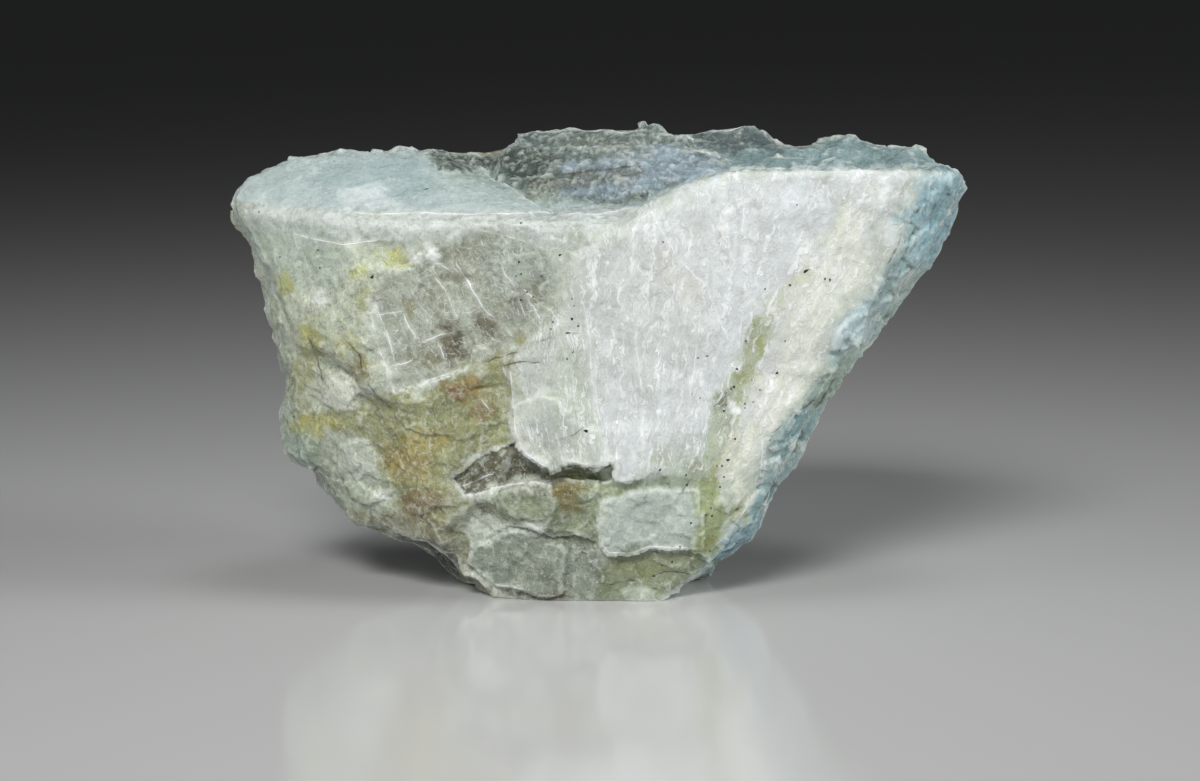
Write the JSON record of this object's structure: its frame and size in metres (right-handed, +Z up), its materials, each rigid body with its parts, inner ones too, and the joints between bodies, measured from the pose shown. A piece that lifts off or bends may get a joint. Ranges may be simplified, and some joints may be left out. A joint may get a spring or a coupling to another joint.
{
  "type": "rough chiolite mineral specimen",
  "caption": "Rough, cleaved chunk of milky pale green stone, wide at the top and tapering to a small flat foot that it stands on.",
  "frame": {"origin": "on the resting plane, under the middle of the stone's bounding box", "axes": "+X to the viewer's right along the stone's width, +Y to the back, +Z up; the broad cleaved face looks along -Y"},
  "size_m": [0.061, 0.0342, 0.0381],
  "materials": {
    "stone": "vitreous, milky and translucent"
  },
  "bodies": {
    "root": {"chiolite": "stone"}
  },
  "joints": []
}
